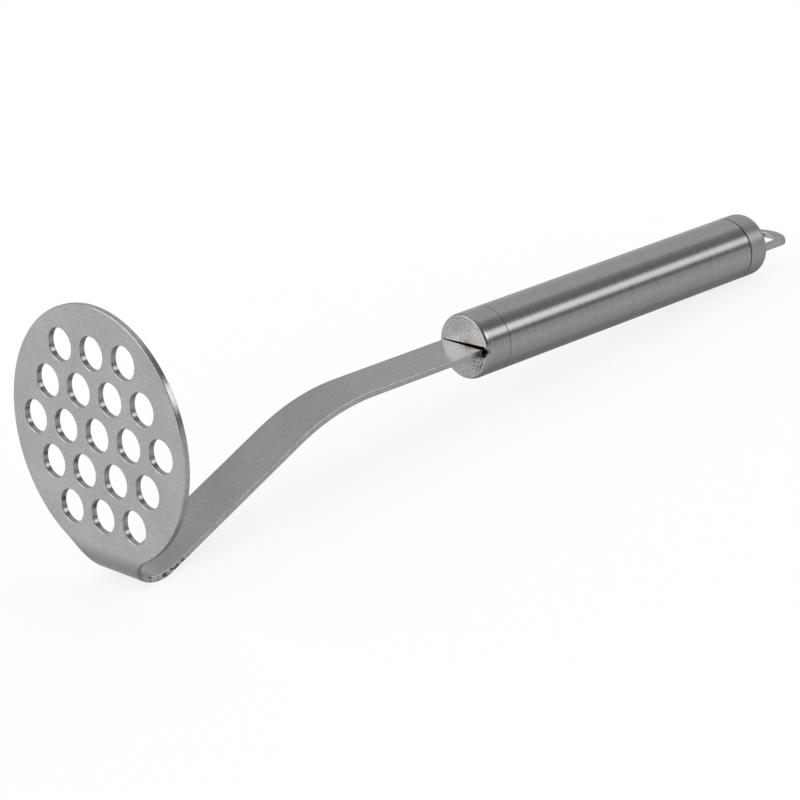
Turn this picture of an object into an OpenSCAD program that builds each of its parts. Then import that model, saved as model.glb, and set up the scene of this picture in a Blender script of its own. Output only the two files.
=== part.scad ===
// One-piece perforated hand masher with an offset sheet bar and a capped round tube handle.
// Units are millimetres. It lies at rest: the foot bend and the rear rim of the handle touch z = 0,
// the mashing plate stands up at the -X end and the hanging loop is the +X end. It is symmetric about y = 0.

/* [Mashing plate] */
// diameter of the round mashing plate
plate_d = 78.7; // [74:0.1:90]
// thickness of the stamped sheet, the same in the plate, the bar and the tang
sheet_t = 2; // [1.6:0.1:2.4]
// diameter of each mashing hole
hole_d = 10.3; // [7:0.1:11.5]
// distance between neighbouring hole centres in the hexagonal pattern
hole_pitch = 14.4; // [13:0.1:15]

/* [Neck and foot bend] */
// radius inside the bend where the sheet turns from the plate into the bar
bend_r = 10; // [7:0.5:11]
// depth below the plate's centre where the bend begins
bend_start = 34.4; // [32:0.1:36]
// radius of the hollow that runs out of the plate's round edge into the neck
neck_r = 24; // [16:1:30]
// small radius where the neck meets the straight side of the bar
neck_end_r = 2.5; // [1.5:0.5:4]

/* [Bar] */
// width of the bar
bar_w = 18.5; // [14:0.1:19]
// angle at which the bar climbs away from the foot bend, measured from the plate's normal
rise_a = 25.5; // [20:0.5:30]
// length of the straight climbing run
rise_len = 59; // [45:0.5:75]
// radius of the long knee on its underside
knee_r = 77.6; // [50:0.1:90]
// length of the straight run from the knee to the handle's front face
neck_len = 49; // [30:0.5:60]

/* [Handle] */
// outside diameter of the handle tube and both caps
grip_d = 22; // [21:0.1:26]
// angle between the handle's axis and the plate's normal
grip_tilt = 1.5; // [0:0.1:3]
// length of the tube between the two cap seams
tube_len = 121.3; // [90:0.1:140]
// wall of the tube
tube_wall = 1; // [0.8:0.1:1.2]
// visible length of the front cap
front_cap_len = 10.5; // [8:0.1:14]
// visible length of the rear cap
rear_cap_len = 8.4; // [6:0.1:12]
// thickness of the flat end face of each cap
cap_face_t = 1.6; // [1.2:0.1:2]
// wall of each cap's skirt
cap_wall = 1.2; // [1:0.1:1.5]
// length of the stepped spigot that each cap pushes into the tube
spigot_len = 5; // [3:0.5:8]
// wall of the spigot
spigot_wall = 1.2; // [1:0.1:1.5]
// rounding of each cap's outer edge
edge_r = 0.9; // [0.5:0.1:1.5]
// bevel on each side of the rear seam
rear_seam = 0.3; // [0.1:0.05:0.4]
// bevel on each side of the front seam
front_seam = 0.1; // [0.05:0.05:0.3]

/* [Front slot, tang and weld] */
// gap above the bar in the front cap's slot
slot_gap = 0.8; // [0.3:0.1:1.2]
// gap at each end of the bar in the slot
slot_end_gap = 0.5; // [0.2:0.1:0.6]
// length of the tang inside the handle, from the front face
tang_len = 24; // [12:1:40]
// width of the tang inside the handle
tang_w = 14; // [8:0.5:15]
// radius of the weld bead under the bar at the front face
bead_r = 1.4; // [0.8:0.1:1.6]
// distance from the bar's side in to the centre of the bead's rounded end
bead_inset = 0.4; // [0.2:0.1:1]

/* [Hanging loop] */
// thickness of the loop's sheet
loop_t = 2; // [1.5:0.1:2.5]
// width of the loop
loop_w = 21.2; // [19:0.1:21.5]
// how far the loop stands out behind the rear cap
loop_len = 16; // [14:0.5:20]
// width of the loop's strip around its eye
loop_strip = 3.1; // [2.5:0.1:3.8]
// radius of the bowed end of the loop
loop_tip_r = 13; // [12:0.5:14]
// radius of the loop's two outer corners
loop_corner_r = 4.5; // [4:0.1:5]
// width of the loop's foot left between the rear cap and the eye
loop_foot = 2; // [1:0.1:3]
// width of the loop's tab inside the rear cap
loop_tab_w = 14; // [8:0.5:16]
// length of the loop's tab inside the rear cap, from the rear face
loop_tab_len = 6; // [3:0.5:10]

/* [Hidden] */
$fn = 96;

// how far cutters and masks run past the surfaces that they cut
over = 1;
plate_r = plate_d / 2;
foot_r = bend_r + sheet_t;
row_step = hole_pitch * sqrt(3) / 2;
// straight steps in each curved stretch of the sheet's outlines
bend_steps = 24;
knee_steps = 12;
neck_steps = 10;
// angle past the touching point where the neck's hollow leaves the plate's edge
neck_lead = 3;
grip_r = grip_d / 2;
grip_len = front_cap_len + tube_len + rear_cap_len;
tube_in_r = grip_r - tube_wall;

// centres of the foot bend and of the knee in the X-Z section, plate's front face at x = 0
foot_c = [foot_r, -bend_start];
rise_end = foot_c + [rise_len * cos(rise_a) + bend_r * sin(rise_a),
                     rise_len * sin(rise_a) - bend_r * cos(rise_a)];
knee_c = rise_end + (knee_r + sheet_t) * [sin(rise_a), -cos(rise_a)];
// point where the handle's axis meets its front face: the bar's mid-plane lies on the axis
grip_dir = [cos(grip_tilt), sin(grip_tilt)];
grip_nrm = [-sin(grip_tilt), cos(grip_tilt)];
grip_p = knee_c + (knee_r + sheet_t / 2) * grip_nrm + neck_len * grip_dir;

// the neck's two hollows: the large one touches the plate's edge, the small one ends on the bar's side
neck_end = bend_start + bend_r;
small_c = [bar_w / 2 + neck_end_r, -neck_end];
small_d = norm(small_c);
neck_along = ((plate_r + neck_r) ^ 2 - (neck_r - neck_end_r) ^ 2 + small_d ^ 2) / (2 * small_d);
neck_across = sqrt((plate_r + neck_r) ^ 2 - neck_along ^ 2);
large_c = small_c / small_d * neck_along + neck_across * [neck_end, small_c[0]] / small_d;
touch_plate = large_c * plate_r / (plate_r + neck_r);
touch_small = small_c + (small_c - large_c) * neck_end_r / (neck_r - neck_end_r);

// angle that brings the foot bend and the handle's rear rim onto one level floor
rim_c = grip_p + (grip_len - edge_r) * grip_dir - (grip_r - edge_r) * grip_nrm;
rest_line = rim_c - foot_c;
lie_a = atan2(rest_line[1], rest_line[0]) + asin((foot_r - edge_r) / norm(rest_line));
lift = foot_r + foot_c[0] * sin(lie_a) - foot_c[1] * cos(lie_a);
// the part's two ends along X once it lies down, and the shift that centres it
loop_tip = grip_p + (grip_len + loop_len) * grip_dir + loop_t / 2 * grip_nrm;
x_front = foot_c[0] * cos(lie_a) + foot_c[1] * sin(lie_a) - foot_r;
x_rear = loop_tip[0] * cos(lie_a) + loop_tip[1] * sin(lie_a);
x_shift = -(x_front + x_rear) / 2;

module lie_down() { translate([x_shift, 0, lift]) rotate([0, lie_a, 0]) children(); }
// handle's own axes: X along the handle from its front face, Z up
module on_grip() { translate([grip_p[0], 0, grip_p[1]]) rotate([0, -grip_tilt, 0]) children(); }
// a 2-D outline drawn in X and Z, made w wide and centred on y = 0
module across(w) { rotate([90, 0, 0]) linear_extrude(height = w, center = true) children(); }
// a 2-D profile of (radius, distance) turned about the handle's axis
module turned() { rotate([0, 90, 0]) rotate_extrude() children(); }

// points along an arc about c, from angle a0 to a1 in n steps
function arc(c, r, a0, a1, n) = [for (i = [0:n]) c + r * [cos(a0 + (a1 - a0) * i / n), sin(a0 + (a1 - a0) * i / n)]];
// direction in degrees from point p to point q
function toward(p, q) = atan2(q[1] - p[1], q[0] - p[0]);

// the sheet seen from the side, in one outline: plate, foot bend, climbing run, knee and level run with tang
module sheet_section() {
    tang_end = grip_p + tang_len * grip_dir;
    polygon(concat([[0, plate_r + over]],
        arc(foot_c, foot_r, 180, 270 + rise_a, bend_steps),
        arc(knee_c, knee_r, 90 + rise_a, 90 + grip_tilt, knee_steps),
        [tang_end - sheet_t / 2 * grip_nrm, tang_end + sheet_t / 2 * grip_nrm],
        arc(knee_c, knee_r + sheet_t, 90 + grip_tilt, 90 + rise_a, knee_steps),
        arc(foot_c, bend_r, 270 + rise_a, 180, bend_steps),
        [[sheet_t, plate_r + over]]));
}

// one side of the neck and bar in Y and Z, from just past the plate's edge down to the bar's side
function neck_side() =
    let (hollow = toward(large_c, touch_plate), turn = toward(large_c, touch_small) - hollow)
    concat(arc(large_c, neck_r, hollow + neck_lead, hollow + turn, neck_steps),
           arc(small_c, neck_end_r, toward(small_c, touch_small), 180, bend_steps),
           [[bar_w / 2, -bend_start - foot_r - over]]);

// the plate and neck seen from the front, in Y and Z
module front_outline() {
    circle(plate_r);
    side = neck_side();
    last = len(side) - 1;
    polygon(concat([[0, 0]], side, [for (i = [last:-1:0]) [-side[i][0], side[i][1]]]));
}

// one stamped sheet: round plate, neck, bar and the tang inside the handle
module masher_plate() color("#a9a9ab") lie_down() difference() {
    intersection() {
        across(plate_d + 2 * over) sheet_section();
        union() {
            translate([-over, 0, 0]) rotate([90, 0, 90]) linear_extrude(height = foot_r + over) front_outline();
            translate([foot_r - over, -bar_w / 2, -bend_start - foot_r - over])
                cube([grip_p[0] + tang_len, bar_w, bend_start + foot_r + over]);
        }
    }
    for (row = [-2:2]) for (i = [0:4 - abs(row)])
        translate([-over, (i - (4 - abs(row)) / 2) * hole_pitch, row * row_step])
            rotate([0, 90, 0]) cylinder(h = sheet_t + 2 * over, d = hole_d);
    on_grip() for (s = [-1, 1])
        translate([cap_face_t, s * (tang_w / 2 + bar_w / 2) - bar_w / 2, -sheet_t])
            cube([tang_len + over, bar_w, 2 * sheet_t]);
}

// drawn cup with a rounded rim, turned profile: outside length len, bevel at the seam, spigot past it
module cap_profile(len, bevel) {
    translate([grip_r - edge_r, edge_r]) circle(edge_r);
    square([grip_r - edge_r, cap_face_t]);
    translate([grip_r - cap_wall, edge_r]) square([cap_wall, len - edge_r - bevel]);
    polygon([[grip_r - cap_wall, len - bevel], [grip_r, len - bevel], [grip_r - bevel, len],
             [tube_in_r, len], [tube_in_r, len + spigot_len], [tube_in_r - spigot_wall, len + spigot_len],
             [tube_in_r - spigot_wall, len - cap_wall], [grip_r - cap_wall, len - cap_wall]]);
}

// front cup with the slot that the bar passes through
module front_cap() color("#9d9d9f") lie_down() on_grip() difference() {
    turned() cap_profile(front_cap_len, front_seam);
    translate([-over, -bar_w / 2 - slot_end_gap, -sheet_t / 2])
        cube([cap_face_t + 2 * over, bar_w + 2 * slot_end_gap, sheet_t + slot_gap]);
}

// plain tube between the caps, bevelled at both seams
module grip_tube() color("#98989a") lie_down() on_grip() translate([front_cap_len, 0, 0]) turned()
    polygon([[tube_in_r, 0], [grip_r - front_seam, 0], [grip_r, front_seam], [grip_r, tube_len - rear_seam],
             [grip_r - rear_seam, tube_len], [tube_in_r, tube_len]]);

// rear cup with the slot that holds the loop's tab
module rear_cap() color("#9d9d9f") lie_down() on_grip() difference() {
    translate([grip_len, 0, 0]) mirror([1, 0, 0]) turned() cap_profile(rear_cap_len, rear_seam);
    translate([grip_len - cap_face_t - over, -loop_tab_w / 2, -loop_t / 2])
        cube([cap_face_t + 2 * over, loop_tab_w, loop_t]);
}

// outline of the loop moved inward by e, from the rear face at x = 0
module loop_outline(e) {
    tip_x = loop_len - loop_tip_r;
    corner_y = loop_w / 2 - loop_corner_r;
    corner_x = tip_x + sqrt((loop_tip_r - loop_corner_r) ^ 2 - corner_y ^ 2);
    // the wedge from the tip arc's centre runs on through its two touching points, past the arc
    reach = 3 * loop_tip_r / (loop_tip_r - loop_corner_r);
    for (s = [-1, 1]) translate([corner_x, s * corner_y]) circle(loop_corner_r - e);
    intersection() {
        translate([tip_x, 0]) circle(loop_tip_r - e);
        polygon([[tip_x, 0], [tip_x + reach * (corner_x - tip_x), -reach * corner_y],
                 [tip_x + reach * (corner_x - tip_x), reach * corner_y]]);
    }
    translate([0, e - loop_w / 2]) square([corner_x, loop_w - 2 * e]);
}

// flat stamped loop whose tab sits in the rear cap's slot
module hanging_loop() color("#a3a3a5") lie_down() on_grip() translate([grip_len, 0, -loop_t / 2])
    linear_extrude(height = loop_t) {
        difference() {
            loop_outline(0);
            intersection() {
                loop_outline(loop_strip);
                translate([loop_foot, -loop_w / 2]) square([loop_len, loop_w]);
            }
        }
        translate([-loop_tab_len, -loop_tab_w / 2]) square([loop_tab_len + loop_foot / 2, loop_tab_w]);
    }

// bead that runs under the bar at the handle's face and wraps both of its edges
module slot_weld() color("#5f5a55") lie_down() on_grip() difference() {
    bead_y = bar_w / 2 - bead_inset;
    translate([0, 0, -sheet_t / 2]) {
        rotate([90, 0, 0]) cylinder(h = 2 * bead_y, r = bead_r, center = true);
        for (s = [-1, 1]) translate([0, s * bead_y, 0]) sphere(bead_r);
    }
    translate([0, -grip_r, -grip_r]) cube([grip_r, grip_d, grip_d]);
    translate([-bead_r - over, -bar_w / 2, -sheet_t / 2]) cube([bead_r + 2 * over, bar_w, sheet_t]);
}

masher_plate();
front_cap();
grip_tube();
rear_cap();
hanging_loop();
slot_weld();
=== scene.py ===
"""Potato masher: one stamped steel sheet with a capped, brushed tube handle and a hanging loop."""

import math
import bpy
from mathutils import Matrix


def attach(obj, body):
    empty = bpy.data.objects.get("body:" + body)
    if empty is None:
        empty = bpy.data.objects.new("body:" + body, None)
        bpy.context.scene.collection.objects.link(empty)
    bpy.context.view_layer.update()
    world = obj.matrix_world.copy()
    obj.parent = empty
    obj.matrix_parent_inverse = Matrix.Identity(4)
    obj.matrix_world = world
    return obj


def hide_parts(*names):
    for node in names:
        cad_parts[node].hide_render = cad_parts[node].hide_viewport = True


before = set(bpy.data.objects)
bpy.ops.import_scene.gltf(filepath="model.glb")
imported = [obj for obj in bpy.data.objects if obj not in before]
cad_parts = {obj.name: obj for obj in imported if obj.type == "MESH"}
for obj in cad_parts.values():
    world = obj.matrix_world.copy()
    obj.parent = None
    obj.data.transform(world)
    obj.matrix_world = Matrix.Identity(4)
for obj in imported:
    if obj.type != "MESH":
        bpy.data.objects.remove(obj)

from types import SimpleNamespace

import bpy
import numpy as np
from bpy.props import FloatProperty, FloatVectorProperty, IntProperty, PointerProperty
from mathutils import Matrix, Vector
from mathutils.geometry import delaunay_2d_cdt

bl_info = {
    "name": "Potato masher",
    "version": (1, 0, 0),
    "blender": (4, 5, 0),
    "location": "View3D > Sidebar > Masher",
    "description": "Builds the visible pieces, the finishes and the studio of a potato masher",
    "category": "Object",
}

MM = 0.001
QUARTER, HALF, FULL = math.pi / 2, math.pi, 2 * math.pi

# the grey room that the steel mirrors: degrees round the X axis, from +Y over the top, and the tone there
ROOM_BANDS = {
    "near wall": (-180, 0.40), "near side, low": (-150, 0.50), "table, near": (-115, 0.40),
    "table": (-88, 0.24), "table, far": (-60, 0.22), "backdrop, foot": (-20, 0.535), "backdrop": (0, 0.52),
    "backdrop, head": (30, 0.455), "ceiling": (84, 0.50), "dark gap, start": (104, 0.23),
    "dark gap": (122, 0.16), "above the strip": (137, 0.14), "below the strip": (160, 0.13),
    "dark gap, end": (171, 0.10), "near wall again": (180, 0.40),
}


# ---------------------------------------------------------------- sizes, finishes and studio


def length(name, text, mm):
    return FloatProperty(name=name, description=text, default=mm * MM, unit="LENGTH", precision=5)


def angle(name, text, degrees):
    return FloatProperty(name=name, description=text, default=math.radians(degrees), subtype="ANGLE")


def factor(name, text, value, top=1.0):
    return FloatProperty(name=name, description=text, default=value, min=0, max=top, subtype="FACTOR")


def colour(name, text, *rgb):
    return FloatVectorProperty(name=name, description=text, default=rgb, min=0, max=1, subtype="COLOR")


class MasherSizes(bpy.types.PropertyGroup):
    """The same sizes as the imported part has, and the small edge sizes that only show here."""

    plate_d: length("Plate diameter", "Diameter of the round mashing plate", 78.7)
    sheet_t: length("Sheet thickness", "Thickness of the plate, the bar and the tang", 2)
    hole_d: length("Hole diameter", "Diameter of each mashing hole", 10.3)
    hole_pitch: length("Hole pitch", "Distance between neighbouring hole centres", 14.4)
    bend_r: length("Foot bend radius", "Radius inside the bend between plate and bar", 10)
    bend_start: length("Bend start", "Depth below the plate's centre where the bend begins", 34.4)
    neck_hollow: length("Neck hollow", "Radius of the hollow beside the neck, on the flat sheet", 16.5)
    bar_w: length("Bar width", "Width of the bar", 18.5)
    rise_a: angle("Climb angle", "Angle of the climbing run from the plate's normal", 25.5)
    rise_len: length("Climbing run", "Length of the straight climbing run", 59)
    knee_r: length("Knee radius", "Radius of the long knee on its underside", 77.6)
    neck_len: length("Level run", "Length of the straight run from the knee to the handle", 49)
    edge_low: length("Lower edge rounding", "Rounding of the sheet's edge on the plate's front", 0.25)
    edge_high: length("Upper edge rounding", "Rounding of the sheet's edge on the plate's back", 0.32)
    punched: length("Hole edge rounding", "Rounding of the holes' edges", 0.26)
    grip_d: length("Handle diameter", "Outside diameter of the tube and the caps", 22)
    grip_tilt: angle("Handle tilt", "Angle of the handle's axis from the plate's normal", 1.5)
    tube_len: length("Tube length", "Length of the tube between the cap seams", 121.3)
    tube_wall: length("Tube wall", "Wall of the tube", 1)
    front_cap_len: length("Front cap length", "Visible length of the front cap", 10.5)
    rear_cap_len: length("Rear cap length", "Visible length of the rear cap", 8.4)
    cap_face_t: length("Cap face thickness", "Thickness of each cap's flat end face", 1.6)
    cap_wall: length("Cap wall", "Wall of each cap's skirt", 1.2)
    spigot_len: length("Spigot length", "Length of the step that each cap pushes into the tube", 5)
    spigot_wall: length("Spigot wall", "Wall of the spigot", 1.2)
    rim_r: length("Rim rounding", "Tight rounding where a cap's face turns into its rim", 0.5)
    rim_sweep: length("Rim sweep", "Wide rounding that runs from the rim into the skirt", 3.5)
    rim_turn: angle("Rim turn", "How far the tight rounding turns before the wide one", 66)
    rest_rim: length("Resting rim", "Rounding of the packed part's rear rim, on which it lies", 0.9)
    rear_seam: length("Rear seam", "Bevel on each side of the rear seam", 0.3)
    front_seam: length("Front seam", "Bevel on each side of the front seam", 0.1)
    slot_far_gap: length("Slot gap, far end", "Gap above the bar at the +Y end of the slot", 0.15)
    slot_near_gap: length("Slot gap, near end", "Gap above the bar at the -Y end of the slot", 0.7)
    slot_end_gap: length("Slot end gap", "Gap at each end of the bar in the slot", 0.2)
    tang_len: length("Tang length", "Length of the tang inside the handle", 24)
    tang_w: length("Tang width", "Width of the tang inside the handle", 14)
    bead_r: length("Weld bead radius", "Radius of the weld bead under the bar", 1.2)
    loop_t: length("Loop thickness", "Thickness of the hanging loop", 2)
    loop_w: length("Loop width", "Width of the hanging loop", 21.2)
    loop_len: length("Loop length", "How far the loop stands out behind the rear cap", 16)
    loop_strip: length("Loop strip", "Width of the loop's strip around its eye", 3.1)
    loop_tip_r: length("Loop tip radius", "Radius of the loop's bowed end", 13)
    loop_corner_r: length("Loop corner radius", "Radius of the loop's outer corners", 4.5)
    loop_foot: length("Loop foot", "Width of the foot between the rear cap and the eye", 2)
    loop_tab_w: length("Loop tab width", "Width of the loop's tab inside the rear cap", 14)
    loop_tab_len: length("Loop tab length", "Length of the loop's tab inside the rear cap", 6)
    loop_edge: length("Loop edge rounding", "Rounding of the loop's edges", 0.35)
    round_steps: IntProperty(name="Steps round", description="Straight steps round the handle", default=192)


class MasherFinish(bpy.types.PropertyGroup):
    """Colours and gloss of the finishes."""

    sheet: colour("Sheet", "Steel of the plate and the bar", 0.57, 0.57, 0.573)
    # partly painted shade: the hole walls are darker than the sheared edge, partly for their punched finish
    # and partly for the shade inside the holes
    punched: colour("Hole walls", "Steel of the holes' walls", 0.50, 0.50, 0.50)
    sheared: colour("Sheared edge", "Steel where the sheet was sheared", 0.60, 0.60, 0.60)
    tube: colour("Tube", "Brushed steel of the tube", 0.54, 0.54, 0.535)
    cap: colour("Cap", "Brushed steel of the caps", 0.53, 0.53, 0.525)
    loop: colour("Loop", "Steel of the hanging loop", 0.50, 0.50, 0.50)
    straw: colour("Straw tint", "Brown that the weld's heat left on the cap", 0.40, 0.30, 0.21)
    soot: colour("Soot", "Black of burnt metal beside the weld", 0.02, 0.018, 0.017)
    bead: colour("Weld bead", "Dark uncleaned weld metal", 0.13, 0.12, 0.115)
    # painted shade: near black laid into the grooves between caps and tube
    seam_groove_shade: colour("Painted seam shade", "Dark of the grooves between caps and tube", 0.02, 0.02, 0.02)
    front_seam_shade: factor("Front seam shade", "Strength of the front seam's dark line; the rear one has 1", 0.73)
    sheet_gloss: factor("Sheet roughness", "Roughness of the satin sheet", 0.17)
    tube_gloss: factor("Tube roughness", "Roughness of the brushed tube", 0.19)


class MasherStudio(bpy.types.PropertyGroup):
    """Camera, floor and lights."""

    look: angle("View direction", "Direction the camera looks in, from +X towards +Y", 48.243)
    down: angle("View slope", "How far the camera looks down", 22.327)
    roll: angle("Camera roll", "Turn of the camera about its own line of sight", -7.109)
    away: length("Camera distance", "Distance of the camera from the aim point", 988.01)
    aim: FloatVectorProperty(name="Aim point", description="Point in the middle of the view",
                             default=(-0.01644, 0.017386, 0.004918), subtype="TRANSLATION")
    lens: FloatProperty(name="Lens", description="Focal length on a 36 mm sensor, in mm", default=136.325)
    floor: colour("Floor", "Pale floor", 0.93, 0.93, 0.93)
    floor_glow: factor("Floor glow", "Light from the floor itself, which softens the shadows", 0.82)
    daylight: factor("Daylight", "Even light on the floor", 1.06, 2)
    strip: colour("Strip light", "Long light over the near side of the handle", 1.0, 0.975, 0.93)
    strip_level: factor("Strip level", "Brightness of the strip light", 1.6, 4)
    strip_turn: angle("Strip angle", "Where the strip light lies round the X axis, from +Y over the top", 148)
    strip_width: angle("Strip width", "Width of the strip light as the handle sees it", 22)
    end_level: factor("End light level", "Brightness of the large light beyond the plate", 1.4, 4)
    end_way: FloatVectorProperty(name="End light direction", description="Where the end light is",
                                 default=(-0.75, 0.45, 0.48), subtype="DIRECTION")
    card_way: FloatVectorProperty(name="Dark card direction", description="Where the dark card is",
                                  default=(0.15, 0.91, 0.38), subtype="DIRECTION")


# ---------------------------------------------------------------- where the sheet and the handle run


def unit(a):
    """The direction at an angle, or one for each of many angles."""
    return np.stack([np.cos(a), np.sin(a)], -1)


def layout(s):
    """The masher's centre lines, worked out from its sizes as in the part's own frame: the plate's
    front face is x = 0, its centre the origin, X runs to the handle and Z up, before it lies down."""
    t, tilt = s.sheet_t, s.grip_tilt
    m = SimpleNamespace(t=t, foot_r=s.bend_r + t, fold=QUARTER + s.rise_a, level=QUARTER + tilt)
    m.foot_c = np.array([m.foot_r, -s.bend_start])
    m.rise_0 = m.foot_c - m.foot_r * unit(m.fold)
    m.rise_1 = m.rise_0 + s.rise_len * unit(s.rise_a)
    m.knee_r = s.knee_r
    m.knee_c = m.rise_1 - s.knee_r * unit(m.fold)
    m.level_0 = m.knee_c + s.knee_r * unit(m.level)
    m.grip_dir, m.grip_up = unit(tilt), unit(m.level)
    m.grip_p = m.level_0 + t / 2 * m.grip_up + s.neck_len * m.grip_dir
    m.grip_r = s.grip_d / 2
    m.grip_len = s.front_cap_len + s.tube_len + s.rear_cap_len
    # distances along the sheet's middle to the foot bend, climb, knee, level run, handle and tang's end
    m.u = np.cumsum([s.bend_start, m.fold * (s.bend_r + t / 2), s.rise_len,
                     (s.rise_a - tilt) * (s.knee_r + t / 2), s.neck_len, s.tang_len])
    # it lies on the foot bend and on the handle's rear rim
    rim = s.rest_rim
    rim_c = m.grip_p + (m.grip_len - rim) * m.grip_dir - (m.grip_r - rim) * m.grip_up
    line = rim_c - m.foot_c
    m.lie = math.atan2(line[1], line[0]) + math.asin((m.foot_r - rim) / np.linalg.norm(line))
    c, n = math.cos(m.lie), math.sin(m.lie)
    m.turn = np.array([[c, n], [-n, c]])
    tip = m.grip_p + (m.grip_len + s.loop_len) * m.grip_dir + s.loop_t / 2 * m.grip_up
    x_front = (m.turn @ m.foot_c)[0] - m.foot_r
    x_rear = (m.turn @ tip)[0]
    m.move = np.array([-(x_front + x_rear) / 2, m.foot_r - (m.turn @ m.foot_c)[1]])
    m.face = in_row(m, m.grip_p[None], np.zeros(1))[0]
    m.slope = m.lie - tilt
    return m


def in_row(m, xz, y):
    """Points given by (x, z) in the part's frame and y, turned and lifted to where the masher lies."""
    flat = xz @ m.turn.T + m.move
    return np.stack([flat[:, 0], y, flat[:, 1]], 1)


def along(m, u):
    """The sheet's front line at distance u along it, and the two directions there, down the sheet and
    through it. The direction through it turns by the bend angle, evenly within each bend."""
    turn = np.interp(u, m.u[:4], [0, m.fold, m.fold, m.level])
    through = unit(turn)
    onward = np.stack([np.sin(turn), -np.cos(turn)], 1)
    runs = [u <= m.u[0], u <= m.u[1], u <= m.u[2], u <= m.u[3]]
    plate = np.stack([0 * u, -u], 1)
    foot = m.foot_c - m.foot_r * through
    climb = m.rise_0 + (u - m.u[1])[:, None] * onward
    knee = m.knee_c + m.knee_r * through
    level = m.level_0 + (u - m.u[3])[:, None] * onward
    line = np.select([r[:, None] for r in runs], [plate, foot, climb, knee], level)
    return line, onward, through


def bent(m, across, height, lean):
    """Flat sheet points (y, u) at a height through the sheet, and normals lean = (y, u, height), carried
    onto the bent sheet: point = front line + height times the direction through the sheet."""
    line, onward, through = along(m, across[:, 1])
    place = in_row(m, line + height[:, None] * through, across[:, 0])
    way = (lean[:, 1:2] * onward + lean[:, 2:3] * through) @ m.turn.T
    return place, np.stack([way[:, 0], lean[:, 0], way[:, 1]], 1)


def gripped(m, place, way):
    """Points and normals (along, across, up) in the handle's own axes, carried into the row's frame."""
    axes = np.stack([m.turn @ m.grip_dir, m.turn @ m.grip_up])
    turn = np.array([[axes[0, 0], 0, axes[0, 1]], [0, 1, 0], [axes[1, 0], 0, axes[1, 1]]])
    return place @ turn + m.face, way @ turn


# ---------------------------------------------------------------- outlines


def chain(arcs, step, closed=True):
    """A smooth outline as points, outward normals and distances along it: circle arcs in order, joined
    by the straight lines that touch them. An arc is (centre, centre, radius, first angle, last angle,
    side), with side 1 where the piece is inside the circle and -1 where it is outside."""
    points, normals = [], []
    for x, y, r, a0, a1, side in arcs:
        a = np.linspace(a0, a1, max(2, math.ceil(abs(a1 - a0) * max(r / step, 6))) if r else 1)
        way = unit(a)
        arc = np.array([x, y]) + r * way
        if points:
            straight(points, normals, arc[0], side * way[0], step)
        points.append(arc)
        normals.append(side * way)
    if closed:
        straight(points, normals, points[0][0], normals[0][0], step)
    p, n = np.concatenate(points), np.concatenate(normals)
    fresh = np.linalg.norm(p - np.roll(p, 1, 0), axis=1) > 1e-9
    fresh[0] = fresh[0] or not closed
    p, n = p[fresh], n[fresh]
    run = np.linalg.norm(np.roll(p, -1, 0) - p, axis=1)
    return p, n, np.concatenate([[0], np.cumsum(run)])


def straight(points, normals, end, normal, step):
    """Adds the inner points of the straight line from the last point to end."""
    start = points[-1][-1]
    n = math.ceil(np.linalg.norm(end - start) / step)
    if n > 1:
        f = np.linspace(0, 1, n + 1)[1:-1, None]
        points.append(start + f * (end - start))
        normals.append(np.repeat(normal[None], n - 1, 0))


def mirrored(arcs):
    """The arcs on the other side of the second axis, in reverse order, to close a symmetric outline."""
    return [(-x, y, r, HALF - a1, HALF - a0, side) for x, y, r, a0, a1, side in reversed(arcs)]


def corners(points, radii, solid=1):
    """The arcs that round the corners of a polygon given anticlockwise: each is tangent to both sides,
    its centre on the corner's bisector. solid is -1 where the polygon is an opening."""
    p = np.array(points, float)
    into, out = p - np.roll(p, 1, 0), np.roll(p, -1, 0) - p
    arcs = []
    for q, e, f, r in zip(p, into, out, radii):
        e, f = e / np.linalg.norm(e), f / np.linalg.norm(f)
        bend = math.atan2(e[0] * f[1] - e[1] * f[0], e @ f)
        side = 1 if bend > 0 else -1
        centre = q + r * (f - e) / np.linalg.norm(f - e) / math.cos(bend / 2)
        first = math.atan2(-side * e[0], side * e[1])
        arcs.append((centre[0], centre[1], r, first, first + bend, side * solid))
    return arcs


def edge_profile(t, low, high, n=6):
    """Across a sheet's edge from its lower face to its upper one: how far in from the outline, the
    height, and the normal's outward and upward shares. Two quarter rounds and a flat between them."""
    a = np.linspace(0, QUARTER, n)
    inset = np.concatenate([low * (1 - np.sin(a)), (high * (1 - np.sin(a)))[::-1]])
    height = np.concatenate([low * (1 - np.cos(a)), (t - high * (1 - np.cos(a)))[::-1]])
    out = np.concatenate([np.sin(a), np.sin(a)[::-1]])
    up = np.concatenate([-np.cos(a), np.cos(a)[::-1]])
    return inset, height, out, up


# ---------------------------------------------------------------- skins


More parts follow.
